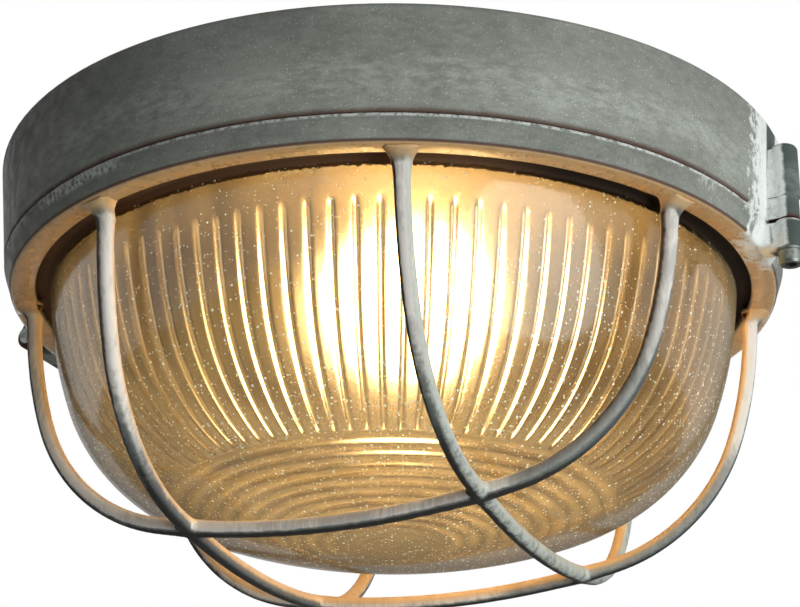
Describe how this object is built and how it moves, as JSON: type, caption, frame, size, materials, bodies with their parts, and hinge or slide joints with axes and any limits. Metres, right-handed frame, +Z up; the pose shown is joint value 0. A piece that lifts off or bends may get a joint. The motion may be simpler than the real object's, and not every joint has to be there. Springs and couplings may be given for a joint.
{
  "type": "ceiling light",
  "caption": "Round ceiling light: cast grey base, hinged cast guard ring with crossing bars over a ribbed bubbly glass dome, one lamp inside, screw clasp at the side.",
  "frame": {"origin": "centre of the flat face that lies against the ceiling", "axes": "+Z points up into the ceiling and the light hangs towards -Z; -Y is the side that faces the viewer; +X is to the viewer's right"},
  "size_m": [0.3016, 0.3, 0.1505],
  "materials": {
    "weathered_paint": "grey-green paint on cast aluminium, matt, rubbed white along its edges",
    "seeded_glass": "clear pressed glass full of tiny bubbles",
    "lamp_glass": "frosted lamp, lit",
    "black_rubber": "matt black rubber",
    "bright_steel": "zinc-plated steel",
    "clasp_steel": "dull steel with traces of white paint",
    "holder_brass": "plain brass",
    "white_porcelain": "white glazed porcelain",
    "terminal_plastic": "off-white moulded plastic",
    "brown_insulation": "brown insulation",
    "blue_insulation": "blue insulation",
    "green_insulation": "green and yellow insulation, shown green"
  },
  "bodies": {
    "base": {"base_housing": "weathered_paint", "base_seal": "black_rubber", "cable_grommet": "black_rubber", "hinge_pin": "bright_steel", "holder_bracket": "bright_steel", "bracket_screws": "bright_steel", "lampholder_body": "white_porcelain", "lampholder_shell": "holder_brass", "centre_contact": "holder_brass", "holder_screws": "bright_steel", "light_bulb": "lamp_glass", "terminal_block": "terminal_plastic", "terminal_inserts": "holder_brass", "terminal_screws": "bright_steel", "block_screws": "bright_steel", "earth_screw": "holder_brass", "live_lead": "brown_insulation", "neutral_lead": "blue_insulation", "earth_lead": "green_insulation"},
    "guard": {"guard": "weathered_paint", "glass_dome": "seeded_glass", "glass_gasket": "black_rubber", "retaining_ring": "bright_steel"},
    "clasp_washer": {"clasp_washer": "bright_steel"},
    "clasp_screw": {"clasp_screw": "clasp_steel"}
  },
  "joints": [
    {"name": "guard_hinge", "type": "hinge", "parent": "base", "child": "guard", "pos_m": [-0.1416, 0.06304, -0.039], "axis": [0.4067, 0.9135, 0], "range_deg": [0, 100]},
    {"name": "clasp_washer_slide", "type": "slide", "parent": "guard", "child": "clasp_washer", "axis": [0, 0, -1], "range_m": [0, 0.0048]},
    {"name": "clasp_screw_turn", "type": "hinge", "parent": "clasp_washer", "child": "clasp_screw", "pos_m": [0.14069, -0.06264, -0.052], "axis": [0, 0, -1], "range_deg": [0, 2160]}
  ],
  "couplings": [
    {"joint": "clasp_screw_turn", "follows": "clasp_washer_slide", "rad_per_m": 7854}
  ]
}
